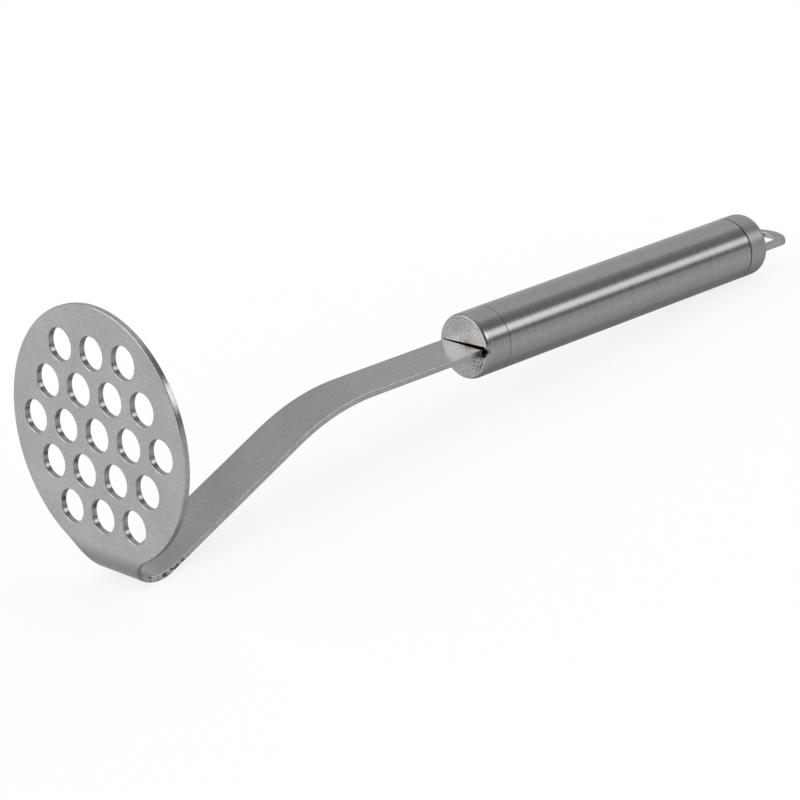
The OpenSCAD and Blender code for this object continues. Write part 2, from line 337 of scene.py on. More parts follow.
class Skin:
    """Collects patches of surface and makes one welded, closed mesh of them."""

    def __init__(self):
        self.points, self.normals, self.faces, self.uvs, self.edges = [], [], [], [], []
        self.count = 0

    def add(self, points, normals, faces, uv, edge):
        """A patch of triangles with a normal and an edge share for each point, and a place on the flat
        pattern for each corner. Triangles that face against their normals are turned over."""
        a, b, c = (points[faces[:, i]] for i in range(3))
        wrong = np.einsum("ij,ij->i", np.cross(b - a, c - a), normals[faces].sum(1)) < 0
        faces, uv = faces.copy(), uv.copy()
        faces[wrong], uv[wrong] = faces[wrong][:, ::-1], uv[wrong][:, ::-1]
        self.points.append(points)
        self.normals.append(normals)
        self.faces.append(faces + self.count)
        self.uvs.append(uv)
        self.edges.append(edge)
        self.count += len(points)

    def grid(self, points, normals, u, v, edge, wrap):
        """A patch on a grid of rows and columns; with wrap the last row joins the first. u is one longer
        than the rows when it wraps."""
        rows, cols = points.shape[:2]
        i, j = np.meshgrid(np.arange(rows if wrap else rows - 1), np.arange(cols - 1), indexing="ij")
        i, j = i.ravel(), j.ravel()
        k = (i + 1) % rows
        quad = np.stack([i * cols + j, k * cols + j, k * cols + j + 1, i * cols + j + 1], 1)
        at = np.stack([np.stack([u[i], v[j]], 1), np.stack([u[i + 1], v[j]], 1),
                       np.stack([u[i + 1], v[j + 1]], 1), np.stack([u[i], v[j + 1]], 1)], 1)
        faces = np.concatenate([quad[:, [0, 1, 2]], quad[:, [0, 2, 3]]])
        uv = np.concatenate([at[:, [0, 1, 2]], at[:, [0, 2, 3]]])
        self.add(points.reshape(-1, 3), normals.reshape(-1, 3), faces, uv, edge.ravel())

    def make(self, name, material, node, slot):
        """Welds points that coincide, drops empty triangles and makes the object in place of its node."""
        points, normals = np.concatenate(self.points), np.concatenate(self.normals)
        faces, uvs, edges = np.concatenate(self.faces), np.concatenate(self.uvs), np.concatenate(self.edges)
        _, first, back = np.unique(np.round(points / 1e-8).astype(np.int64), axis=0,
                                   return_index=True, return_inverse=True)
        faces = back.ravel()[faces]
        whole = (faces[:, 0] != faces[:, 1]) & (faces[:, 1] != faces[:, 2]) & (faces[:, 2] != faces[:, 0])
        faces, uvs = faces[whole], uvs[whole]
        points, normals, edges = points[first], normals[first], edges[first]
        mesh = bpy.data.meshes.new(name)
        mesh.vertices.add(len(points))
        mesh.vertices.foreach_set("co", points.astype(np.float32).ravel())
        mesh.loops.add(faces.size)
        mesh.loops.foreach_set("vertex_index", faces.astype(np.int32).ravel())
        mesh.polygons.add(len(faces))
        mesh.polygons.foreach_set("loop_start", np.arange(0, faces.size, 3, dtype=np.int32))
        mesh.polygons.foreach_set("use_smooth", np.ones(len(faces), bool))
        mesh.uv_layers.new(name="flat").data.foreach_set("uv", uvs.astype(np.float32).ravel())
        mesh.attributes.new("edge", "FLOAT", "POINT").data.foreach_set("value", edges.astype(np.float32))
        mesh.update(calc_edges=True)
        mesh.validate()
        mesh.normals_split_custom_set_from_vertices(normals)
        mesh.materials.append(material)
        piece = bpy.data.objects.new(name, mesh)
        bpy.context.scene.collection.objects.link(piece)
        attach(piece, "root")
        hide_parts(node)


def fill(loops, inner):
    """The flat region inside the first loop and outside the others, as points and triangles that use
    the inner points too. A triangle is kept where its middle is inside an odd number of loops."""
    points = np.concatenate([*loops, inner])
    sizes = [len(p) for p in loops]
    starts = np.concatenate([[0], np.cumsum(sizes)])
    edges = np.concatenate([np.stack([np.arange(n), np.roll(np.arange(n), -1)], 1) + s
                            for n, s in zip(sizes, starts)])
    _, _, faces, source, _, _ = delaunay_2d_cdt([Vector(p) for p in points / MM], edges.tolist(), [], 0, 1e-7)
    faces = np.array([[source[v][0] for v in f] for f in faces])
    middle = points[faces].mean(1)
    a = points[edges[:, 0]]
    b = points[edges[:, 1]]
    crosses = (a[None, :, 1] > middle[:, None, 1]) != (b[None, :, 1] > middle[:, None, 1])
    rise = np.where(b[:, 1] == a[:, 1], 1, b[:, 1] - a[:, 1])
    reach = a[None, :, 0] + (middle[:, None, 1] - a[None, :, 1]) / rise[None] * (b - a)[None, :, 0]
    inside = (crosses & (middle[:, None, 0] < reach)).sum(1) % 2 == 1
    return points, faces[inside]


def sheet_skin(outlines, t, inner, carry):
    """A stamped sheet from its flat outlines, each with its lower and upper edge rounding: every outline
    becomes a rounded edge, and both faces are filled between the edges. carry bends flat points, heights
    and normals into place."""
    skin = Skin()
    for (p, n, run), low, high, share in outlines:
        inset, height, out, up = edge_profile(t, low, high)
        v = np.concatenate([[0], np.cumsum(np.hypot(np.diff(inset), np.diff(height)))])
        flat = (p[:, None] - n[:, None] * inset[None, :, None]).reshape(-1, 2)
        lean = np.concatenate([n[:, None] * out[None, :, None],
                               np.broadcast_to(up[None, :, None], (len(p), len(up), 1))], 2).reshape(-1, 3)
        place, way = carry(flat, np.tile(height, len(p)), lean)
        shape = (len(p), len(inset), 3)
        skin.grid(place.reshape(shape), way.reshape(shape), run, v, np.tile(share * out, (len(p), 1)), True)
    for level, face in ((0, -1), (t, 1)):
        flat, faces = fill([p - n * (high if level else low) for (p, n, _), low, high, _ in outlines], inner)
        lean = np.tile([0.0, 0.0, face], (len(flat), 1))
        place, way = carry(flat, np.full(len(flat), level), lean)
        skin.add(place, way, faces, flat[faces], np.zeros(len(flat)))
    return skin


def lathe(skin, m, profile, steps, edge):
    """Turns an open profile of (distance along, radius) about the handle's axis: a point goes round on
    a circle of its radius."""
    p, n, run = profile
    a = np.arange(steps) / steps * FULL
    place, way = gripped(m, *(np.concatenate([np.broadcast_to(v[None, :, :1], (steps, len(p), 1)),
                                              v[None, :, 1:] * unit(a)[:, None]], 2) for v in (p, n)))
    skin.grid(place, way, np.append(a, FULL) * m.grip_r, run[:len(p)], np.tile(edge, (steps, 1)), True)


def slotted_face(skin, m, x, radius, slot, inset, steps, facing):
    """A cap's flat face: a disc across the handle's axis at x, with the slot left open."""
    a = np.arange(steps) / steps * FULL
    flat, faces = fill([radius * unit(a), slot[0] - slot[1] * inset], np.empty((0, 2)))
    place = np.concatenate([np.full((len(flat), 1), x), flat], 1)
    place, way = gripped(m, place, np.tile([facing, 0.0, 0.0], (len(flat), 1)))
    skin.add(place, way, faces, flat[faces], np.zeros(len(flat)))


def slot_walls(skin, m, x_out, x_in, slot, inset):
    """The walls of a cap's slot: its outline carried through the face, with both edges rounded."""
    away = 1 if x_in > x_out else -1
    depth, height, out, up = edge_profile(abs(x_in - x_out), inset, inset, 4)
    p, n, run = slot
    flat = p[:, None] - n[:, None] * depth[None, :, None]
    along_x = np.broadcast_to((x_out + away * height)[None, :, None], (len(p), len(depth), 1))
    lean_x = np.broadcast_to((away * up)[None, :, None], (len(p), len(depth), 1))
    place, way = gripped(m, np.concatenate([along_x, flat], 2),
                         np.concatenate([lean_x, n[:, None] * out[None, :, None]], 2))
    skin.grid(place, way, run, height, np.tile(out, (len(p), 1)), True)


def seam_shade_falloff(points, x):
    """The painted shade in a seam's groove, a dark line: a share that falls off with the distance along the
    handle from x.
    """
    fade = 0.5 * MM
    return np.exp(-np.abs(points[:, 0] - x) / fade)


def cap_skin(s, m, front, line):
    """A drawn cup. Its profile runs from the flat face over a tight rounding, which turns into a wide
    one, along the skirt to the seam's bevel, down to the spigot and back inside to the inner face."""
    size = s.front_cap_len if front else s.rear_cap_len
    bevel = s.front_seam if front else s.rear_seam
    bore = m.grip_r - s.tube_wall
    inside = bore - s.spigot_wall
    r, big, turn = s.rim_r, s.rim_sweep, s.rim_turn
    face_r = m.grip_r - r * math.sin(turn) - big * (1 - math.sin(turn))
    sweep_end = r * (1 - math.cos(turn)) + big * math.cos(turn)
    rim = [(0, face_r, 0, HALF, HALF, 1), (r, face_r, r, HALF, HALF - turn, 1),
           (sweep_end, m.grip_r - big, big, HALF - turn, QUARTER, 1)]
    skirt_in = m.grip_r - s.cap_wall
    # the cup's section from the skirt's end to the inner face, closed round the outside by three more
    # corners. corners() wants it anticlockwise, so it is turned round for it and back again.
    section = [(size - bevel, m.grip_r), (size, m.grip_r - bevel), (size, bore), (size + s.spigot_len, bore),
               (size + s.spigot_len, inside), (size - s.cap_wall, inside), (size - s.cap_wall, skirt_in),
               (s.cap_face_t, skirt_in), (s.cap_face_t, 0), (-1, 0), (-1, m.grip_r)]
    tiny = 0.05 * MM
    arcs = corners(section[::-1], [tiny] * len(section))[::-1][:-3]
    body = [(x, y, q, a1, a0, side) for x, y, q, a0, a1, side in arcs]
    inner_r = body[-1][1] + body[-1][2] * math.sin(body[-1][4])
    profile = chain(rim + body, 1.5 * MM, closed=False)
    # painted shade in the seam's groove, as a share carried in the edge attribute
    seam = seam_shade_falloff(profile[0], size) * (profile[0][:, 1] > bore) * line
    if not front:
        p, n, run = profile
        profile = (p * [-1, 1] + [m.grip_len, 0], n * [-1, 1], run)
    skin = Skin()
    lathe(skin, m, profile, s.round_steps, seam)
    hold = s.bar_w / 2 + s.slot_end_gap if front else s.loop_tab_w / 2 + 0.1 * MM
    half = s.sheet_t / 2 if front else s.loop_t / 2 + 0.05 * MM
    near, far = (s.slot_near_gap, s.slot_far_gap) if front else (0, 0)
    slot_r = 0.25 * MM
    slot = chain(corners([(-hold, -half), (hold, -half), (hold, half + far), (-hold, half + near)],
                         [slot_r] * 4, -1), 0.8 * MM)
    x_out, x_in = (0, s.cap_face_t) if front else (m.grip_len, m.grip_len - s.cap_face_t)
    facing, worn = -1.0 if front else 1.0, 0.08 * MM
    slotted_face(skin, m, x_out, face_r, slot, worn, s.round_steps, facing)
    slotted_face(skin, m, x_in, inner_r, slot, worn, s.round_steps, -facing)
    slot_walls(skin, m, x_out, x_in, slot, worn)
    return skin


# ---------------------------------------------------------------- finishes


class Wire:
    """A value in a shader tree. Sums, products and the like of wires and numbers become Math nodes."""

    def __init__(self, tree, socket):
        self.tree, self.socket = tree, socket

    def __add__(self, other):
        return self.tree.maths("ADD", self, other)

    def __sub__(self, other):
        return self.tree.maths("SUBTRACT", self, other)

    def __rsub__(self, other):
        return self.tree.maths("SUBTRACT", other, self)

    def __mul__(self, other):
        return self.tree.maths("MULTIPLY", self, other)

    def __abs__(self):
        return self.tree.maths("ABSOLUTE", self)

    def spread(self, low, high, bottom=0.0, top=1.0):
        """Maps low..high to bottom..top smoothly, and holds it beyond them."""
        return self.tree.node("ShaderNodeMapRange", {0: self, 1: low, 2: high, 3: bottom, 4: top},
                              interpolation_type="SMOOTHSTEP")

    def swing(self, amount, middle):
        """A noise about its usual middle of 0.5, scaled to an amount about another middle."""
        return self.tree.maths("MULTIPLY_ADD", self - 0.5, amount, middle)

    def stretched(self, x, y, z):
        return self.tree.node("ShaderNodeVectorMath", {0: self, 1: (x, y, z)}, operation="MULTIPLY")

    def parts(self):
        return self.tree.node("ShaderNodeSeparateXYZ", {0: self}, (0, 1, 2))

    def grey(self):
        """A value as a colour."""
        return self.tree.node("ShaderNodeCombineColor", {0: self, 1: self, 2: self})


class Tree:
    """A shader node tree, and the ways to add to it."""

    def __init__(self, data):
        self.data = data

    def put(self, value, socket):
        """Links a wire to an input, or sets the input to a number, a vector or a colour."""
        if isinstance(value, Wire):
            self.data.links.new(value.socket, socket)
        else:
            socket.default_value = (*value, 1) if socket.type == "RGBA" else value

    def node(self, kind, values=None, out=0, **facts):
        """Adds a node with its properties set and its inputs filled. Gives the wire from one output,
        the wires from several, or with None the node itself."""
        made = self.data.nodes.new(kind)
        for key, value in facts.items():
            setattr(made, key, value)
        for key, value in (values or {}).items():
            self.put(value, made.inputs[key])
        if out is None:
            return made
        wires = [Wire(self, made.outputs[o]) for o in (out if isinstance(out, tuple) else (out,))]
        return wires if isinstance(out, tuple) else wires[0]

    def maths(self, what, *values, clamp=False):
        return self.node("ShaderNodeMath", dict(enumerate(values)), operation=what, use_clamp=clamp)

    def noise(self, place, scale, detail=2.0, roughness=0.5):
        return self.node("ShaderNodeTexNoise", {"Vector": place, "Scale": scale, "Detail": detail,
                                                "Roughness": roughness})

    def blended(self, share, a, b, how="MIX"):
        """Colour a turned into colour b by share."""
        return self.node("ShaderNodeMix", {0: share, 6: a, 7: b}, 2, data_type="RGBA", blend_type=how)

    def shaded(self, tone, shade):
        return self.blended(1.0, tone, shade.grey(), "MULTIPLY")

    def grouped(self, group, out, **values):
        """Places a group, with its inputs by name; an underscore stands for a space."""
        values = {key.replace("_", " "): value for key, value in values.items()}
        return self.node("ShaderNodeGroup", values, out, node_tree=group)

    def millimetres(self):
        return self.node("ShaderNodeTexCoord", out="Object").stretched(1 / MM, 1 / MM, 1 / MM)

    def handle_place(self, m):
        """Object coordinates moved and turned to the handle's own axes, in millimetres from its face."""
        place = self.node("ShaderNodeTexCoord", out="Object")
        values = {"Vector": place, "Location": m.face, "Rotation": (0, m.slope, 0), "Scale": (MM, MM, MM)}
        return self.node("ShaderNodeMapping", values, vector_type="TEXTURE")

    def edge_share(self):
        return self.node("ShaderNodeAttribute", out="Fac", attribute_name="edge")

    def finish(self, shader, base, shine, height, depth):
        """Feeds colour, roughness and a Bump node of that depth, in metres, into the shader."""
        self.put(base, shader.inputs["Base Color"])
        self.put(shine, shader.inputs["Roughness"])
        bump = self.node("ShaderNodeBump", {"Strength": 1.0, "Distance": depth, "Height": height})
        self.put(bump, shader.inputs["Normal"])


def group(name, inputs, outputs, build):
    """A shader node group, made once: inputs are (name, kind, default), outputs the names of values.
    build takes the tree and the input wires by name, and gives the output wires by name."""
    if name in bpy.data.node_groups:
        return bpy.data.node_groups[name]
    made = bpy.data.node_groups.new(name, "ShaderNodeTree")
    for label, kind, default in inputs:
        socket = made.interface.new_socket(label, in_out="INPUT", socket_type="NodeSocket" + kind)
        if default is not None:
            socket.default_value = default
    for label in outputs:
        made.interface.new_socket(label, in_out="OUTPUT", socket_type="NodeSocketFloat")
    tree = Tree(made)
    source = made.nodes.new("NodeGroupInput")
    given = {label: Wire(tree, source.outputs[label]) for label, _, _ in inputs}
    tree.node("NodeGroupOutput", build(tree, given), None)
    return made


def satin_grain():
    """Fine even grain with faint clouds, as on rolled and tumbled sheet. Place is in millimetres."""

    def build(tree, given):
        fine = tree.noise(given["Place"], given["Grain size"], 3.0, 0.6)
        cloud = tree.noise(given["Place"], given["Cloud size"])
        shade = cloud.swing(given["Cloud amount"], fine.swing(given["Grain amount"], 1.0))
        return {"Shade": shade, "Height": fine, "Cloud": cloud}

    return group("Satin grain",
                 [("Place", "Vector", None), ("Grain size", "Float", 3.0), ("Cloud size", "Float", 0.12),
                  ("Grain amount", "Float", 0.12), ("Cloud amount", "Float", 0.10)],
                 ("Shade", "Height", "Cloud"), build)


def brushed_grain():
    """Brush lines that run round an axis: noise that changes fast along X and slowly across it."""

    def build(tree, given):
        fine = tree.noise(given["Place"].stretched(9.0, 0.05, 0.05), given["Line density"])
        wide = tree.noise(given["Place"].stretched(1.3, 0.03, 0.03), given["Line density"])
        cloud = tree.noise(given["Place"], 0.09)
        lines = fine * 0.45 + wide * 0.55
        shade = cloud.swing(given["Cloud amount"], lines.swing(given["Line amount"], 1.0))
        return {"Shade": shade, "Lines": lines}

    return group("Brushed grain",
                 [("Place", "Vector", None), ("Line density", "Float", 1.0), ("Line amount", "Float", 0.25),
                  ("Cloud amount", "Float", 0.08)], ("Shade", "Lines"), build)


def worn_edge_and_highlight():
    """Where handling has polished an edge, painted brighter as a highlight: the edge share broken up by
    noise. Place is in millimetres.
    """

    def build(tree, given):
        broken = tree.noise(given["Place"], given["Break size"], 3.0)
        share = given["Edge"] * broken.spread(0.35, 0.65)
        return {"Wear": tree.maths("MULTIPLY", share, given["Amount"], clamp=True)}

    return group("Worn edge and painted highlight",
                 [("Place", "Vector", None), ("Edge", "Float", 0.0), ("Break size", "Float", 0.7),
                  ("Amount", "Float", 0.7)], ("Wear",), build)


def steel(name, anisotropic=0.0):
    """An empty metal material with its tree and its Principled shader."""
    made = bpy.data.materials.get(name) or bpy.data.materials.new(name)
    made.use_nodes = True
    made.node_tree.nodes.clear()
    tree = Tree(made.node_tree)
    shader = tree.node("ShaderNodeBsdfPrincipled", {"Metallic": 1.0, "Anisotropic": anisotropic}, None)
    tree.node("ShaderNodeOutputMaterial", {0: Wire(tree, shader.outputs[0])}, None)
    return made, tree, shader


def sheet_steel(f, name, tone, gloss, m=None):
    """Stainless sheet: fine grain and clouds on its faces, marks through the thickness on its cut edges,
    a darker tone of their own in the punched holes, partly painted shade, and worn corners painted
    brighter as a highlight. With m, soot darkens the bar's -Y edge beside the cap, and dark stains lie
    on the lowest part of the cut edges, at the foot bend."""
    made, tree, shader = steel(name)
    place, edge = tree.millimetres(), tree.edge_share()
    shade, fine, cloud = tree.grouped(satin_grain(), ("Shade", "Height", "Cloud"), Place=place,
                                      Grain_size=1.5, Cloud_size=0.06, Grain_amount=0.7, Cloud_amount=0.30)
    flat = tree.node("ShaderNodeUVMap", uv_map="flat").stretched(1 / MM, 1 / MM, 1)
    cuts = tree.noise(flat.stretched(5.0, 0.25, 1), 1.0, 3.0)
    patches = tree.noise(flat.stretched(0.35, 0.2, 1), 1.0)
    wall, hole = edge.spread(0.85, 1.0), edge.spread(1.3, 1.9)
    corner = edge.spread(0.25, 0.7) * edge.spread(0.99, 0.85)
    wear_and_highlight = tree.grouped(worn_edge_and_highlight(), "Wear", Place=place, Edge=corner, Break_size=0.5, Amount=0.8)
    # hole: the punched walls get their darker tone, partly their own finish and partly painted shade inside
    # the holes
    cut = tree.shaded(tree.blended(hole, f.sheared, f.punched), patches.swing(0.5, cuts.swing(0.5, 1.0)))
    base = tree.blended(wall, tree.shaded(tone, shade), cut)
    # painted highlight: worn corners get 1.5 times the sheet's tone, brighter than the steel itself
    base = tree.blended(wear_and_highlight, base, [min(1, 1.5 * c) for c in tone])
    if m is not None:
        along_bar, across, _ = tree.handle_place(m).parts()
        smoke = along_bar.spread(-7.0, -2.5) * across.spread(-8.6, -9.2)
        stain = tree.noise(place, 0.45, 3.0).spread(0.46, 0.56) * (place.parts()[2].spread(5.5, 2.0) * wall)
        base = tree.blended(tree.maths("MAXIMUM", smoke * 0.85, stain * 0.8), base, f.soot)
    shine = tree.maths("MULTIPLY_ADD", wall, 0.02, cloud.swing(0.10, gloss))
    tree.finish(shader, base, shine, cuts * (hole * 3.0 + wall * 3.0) + fine, 5.0e-6)
    return made


def brushed_steel(f, m, name, tone, dull=0.0):
    """Brushed stainless: fine lines round the handle in tone, gloss and height, and painted shade, a dark
    line, in the seam's groove. dull adds roughness and pits."""
    made, tree, shader = steel(name, 0.35)
    place = tree.handle_place(m)
    shade, lines = tree.grouped(brushed_grain(), ("Shade", "Lines"), Place=place, Line_amount=0.45,
                                Cloud_amount=0.08)
    # painted shade: the seam groove's share turns the colour near black
    base = tree.blended(tree.edge_share().spread(0.5, 0.75), tree.shaded(tone, shade), f.seam_groove_shade)
    shine = lines.swing(0.16, f.tube_gloss + dull)
    pits = tree.noise(place, 2.0, 3.0) * (dull * 30)
    tree.finish(shader, base, shine, lines + pits, 5.0e-6)
    tangent = tree.node("ShaderNodeTangent", direction_type="RADIAL", axis="X")
    tree.put(tangent, shader.inputs["Tangent"])
    return made, tree, shader, place, base, shine


def welded_cap_steel(f, m):
    """The front cap's finish: brushed skirt, grainy face with dark specks, brown heat tint round the
    slot and soot at its -Y end, all placed in millimetres along the handle's own axes."""
    made, tree, shader, place, base, shine = brushed_steel(f, m, "Brushed front cap", f.cap)
    x, y, z = place.parts()
    on_face = x.spread(0.5, 0.05)

    def distance(a, b):
        return tree.maths("SQRT", a * a + b * b)

    shade = tree.grouped(satin_grain(), "Shade", Place=place, Grain_size=1.7, Cloud_size=0.25,
                         Grain_amount=2.2, Cloud_amount=0.25)
    base = tree.blended(on_face, base, tree.shaded([0.98 * c for c in f.cap], shade))
    ragged = (tree.noise(place, 0.6, 3.0) - 0.5) * 5.0
    heat = abs(z - 1.2) + abs(y + 2.5) * 0.55 + ragged
    base = tree.blended(heat.spread(4.6, 0.5) * (on_face * 0.55), base, f.straw)
    base = tree.blended(heat.spread(2.0, 0.2) * (on_face * 0.7), base, f.bead)
    burnt = distance((y + 9.6) * 0.8, z - 0.2) + ragged * 0.3
    black = burnt.spread(1.35, 0.6) * x.spread(1.5, 0.5)
    below = distance(y + 6.2, z + 4.6).spread(4.2, 2.0)
    specks = tree.noise(place, 1.9).spread(0.54, 0.62) * (below * on_face)
    black = tree.maths("MAXIMUM", black, specks * 0.93)
    tree.put(tree.blended(black, base, f.soot), shader.inputs["Base Color"])
    face_shine = black * 0.35 + 0.32
    shine = tree.node("ShaderNodeMix", {0: on_face, 2: shine, 3: face_shine}, data_type="FLOAT")
    tree.put(shine, shader.inputs["Roughness"])
    return made


def weld_metal(f):
    """Dark, oxidised weld metal with brown and black patches and a rough skin."""
    made, tree, shader = steel("Weld metal")
    place = tree.millimetres()
    patches = tree.noise(place, 0.5, 3.0)
    base = tree.blended(patches.spread(0.4, 0.65), f.bead, f.soot)
    base = tree.blended(tree.noise(place, 0.9).spread(0.58, 0.75), base, f.straw)
    tree.finish(shader, base, patches.spread(0.3, 0.7, 0.35, 0.65), tree.noise(place, 4.0, 4.0), 3.0e-5)
    return made


# ---------------------------------------------------------------- operators


def chosen(context):
    """The sizes, the finishes and the centre lines that every piece is made from."""
    s = context.scene.masher_sizes
    return s, context.scene.masher_finish, layout(s)


class BUILD_OT_plate(bpy.types.Operator):
    """Makes the stamped sheet: round plate with its holes, neck, foot bend, bar, knee and tang"""

    bl_idname = "masher.plate"
    bl_label = "Plate and bar"

    def execute(self, context):
        s, f, m = chosen(context)
        r, hollow, half, q = s.plate_d / 2, s.neck_hollow, s.bar_w / 2, 0.6 * MM
        deep = math.sqrt((r + hollow) ** 2 - (half + hollow) ** 2)
        touch = math.atan2(deep, half + hollow)
        shoulder, end, tang = m.u[4] + s.cap_face_t, m.u[5], s.tang_w / 2
        side = [(half + hollow, deep, hollow, touch + HALF, HALF, -1),
                (half - q, shoulder - q, q, 0, QUARTER, 1),
                (tang + q, shoulder + q, q, -QUARTER, -HALF, -1),
                (tang - q, end - q, q, 0, QUARTER, 1)]
        rim = chain([(0, 0, r, HALF - touch, FULL + touch, 1)] + side + mirrored(side), 0.6 * MM)
        rows = [(row, i) for row in range(-2, 3) for i in range(5 - abs(row))]
        holes = [chain([((i - (4 - abs(row)) / 2) * s.hole_pitch, row * s.hole_pitch * math.sqrt(3) / 2,
                         s.hole_d / 2, 0, FULL, -1)], 0.33 * MM) for row, i in rows]
        inner = np.concatenate([self.dots(r, half, deep, m.u[0], m.u[1], 0.8 * MM),
                                self.dots(r, half, deep, m.u[2], m.u[3], 1.2 * MM)])
        outlines = [(rim, s.edge_low, s.edge_high, 1), *((hole, s.punched, s.punched, 2) for hole in holes)]
        skin = sheet_skin(outlines, s.sheet_t, inner, lambda flat, height, lean: bent(m, flat, height, lean))
        finish = sheet_steel(f, "Satin sheet", f.sheet, f.sheet_gloss, m)
        skin.make("sheet_plate_and_bar", finish, "masher_plate", "satin_sheet")
        return {"FINISHED"}

    def dots(self, r, half, deep, u0, u1, step):
        """Points in a staggered grid over a bent stretch, well inside the plate's and the bar's sides."""
        u, y = np.meshgrid(np.arange(u0, u1 + step, step), np.arange(-r, r, step), indexing="ij")
        y = y + (np.arange(len(u)) % 2)[:, None] * step / 2
        y, u = y.ravel(), u.ravel()
        round_part = np.sqrt(np.clip(r ** 2 - u ** 2, 0, None))
        room = np.where(u < deep, np.maximum(round_part, half), half) - step * 0.6
        keep = np.abs(y) < room
        return np.stack([y[keep], u[keep]], 1)


class BUILD_OT_caps(bpy.types.Operator):
    """Makes the two drawn caps with their slots, rims and spigots"""

    bl_idname = "masher.caps"
    bl_label = "Caps"

    def execute(self, context):
        s, f, m = chosen(context)
        welded, plain = welded_cap_steel(f, m), brushed_steel(f, m, "Brushed rear cap", f.cap, dull=0.16)[0]
        cap_skin(s, m, True, f.front_seam_shade).make("cap_front", welded, "front_cap", "brushed_cap")
        cap_skin(s, m, False, 1.0).make("cap_rear", plain, "rear_cap", "brushed_cap")
        return {"FINISHED"}


class BUILD_OT_tube(bpy.types.Operator):
    """Makes the brushed tube between the caps"""

    bl_idname = "masher.tube"
    bl_label = "Tube"

    def execute(self, context):
        s, f, m = chosen(context)
        x0, x1, bore = s.front_cap_len, s.front_cap_len + s.tube_len, m.grip_r - s.tube_wall
        tiny = 0.04 * MM
        outline = corners([(x0, bore), (x1, bore), (x1, m.grip_r - s.rear_seam), (x1 - s.rear_seam, m.grip_r),
                           (x0 + s.front_seam, m.grip_r), (x0, m.grip_r - s.front_seam)], [tiny] * 6)
        p, n, run = chain(outline, 4 * MM)
        p, n = np.concatenate([p, p[:1]]), np.concatenate([n, n[:1]])
        # painted shade in both seam grooves, the front one weaker
        line = np.maximum(f.front_seam_shade * seam_shade_falloff(p, x0), seam_shade_falloff(p, x1))
        skin = Skin()
        lathe(skin, m, (p, n, run), s.round_steps, line * (p[:, 1] > bore))
        skin.make("tube", brushed_steel(f, m, "Brushed tube", f.tube)[0], "grip_tube", "brushed_tube")
        return {"FINISHED"}


class BUILD_OT_loop(bpy.types.Operator):
    """Makes the flat hanging loop with its eye and tab"""

    bl_idname = "masher.loop"
    bl_label = "Hanging loop"

    def execute(self, context):
        s, f, m = chosen(context)
        tip, corner = s.loop_tip_r, s.loop_corner_r
        tip_x, corner_y = s.loop_len - tip, s.loop_w / 2 - corner
        corner_x = tip_x + math.sqrt((tip - corner) ** 2 - corner_y ** 2)
        lean = math.atan2(corner_x - tip_x, corner_y)
        q, sunk, half, tab = 0.5 * MM, -0.4 * MM, s.loop_w / 2, s.loop_tab_w / 2
        side = [(corner_y, corner_x, corner, lean, 0, 1),
                (half - q, sunk + q, q, 0, -QUARTER, 1),
                (tab + q, sunk - q, q, QUARTER, HALF, -1),
                (tab - q, q - s.loop_tab_len, q, 0, -QUARTER, 1)]
        rim = chain([(0, tip_x, tip, HALF - lean, lean, 1)] + side + mirrored(side), 0.4 * MM)
        strip, soft = s.loop_strip, 1.1 * MM
        hole = [(corner_y, corner_x, corner - strip, lean, 0, -1),
                (half - strip - soft, s.loop_foot + soft, soft, 0, -QUARTER, -1)]
        eye = chain([(0, tip_x, tip - strip, HALF - lean, lean, -1)] + hole + mirrored(hole), 0.4 * MM)

        def carry(flat, height, lean):
            place = np.stack([flat[:, 1] + m.grip_len, flat[:, 0], height - s.loop_t / 2], 1)
            return gripped(m, place, lean[:, [1, 0, 2]])

        outlines = [(rim, s.loop_edge, s.loop_edge, 1), (eye, s.loop_edge, s.loop_edge, 1)]
        skin = sheet_skin(outlines, s.loop_t, np.empty((0, 2)), carry)
        skin.make("loop", sheet_steel(f, "Loop sheet", f.loop, 0.24), "hanging_loop", "loop_sheet")
        return {"FINISHED"}


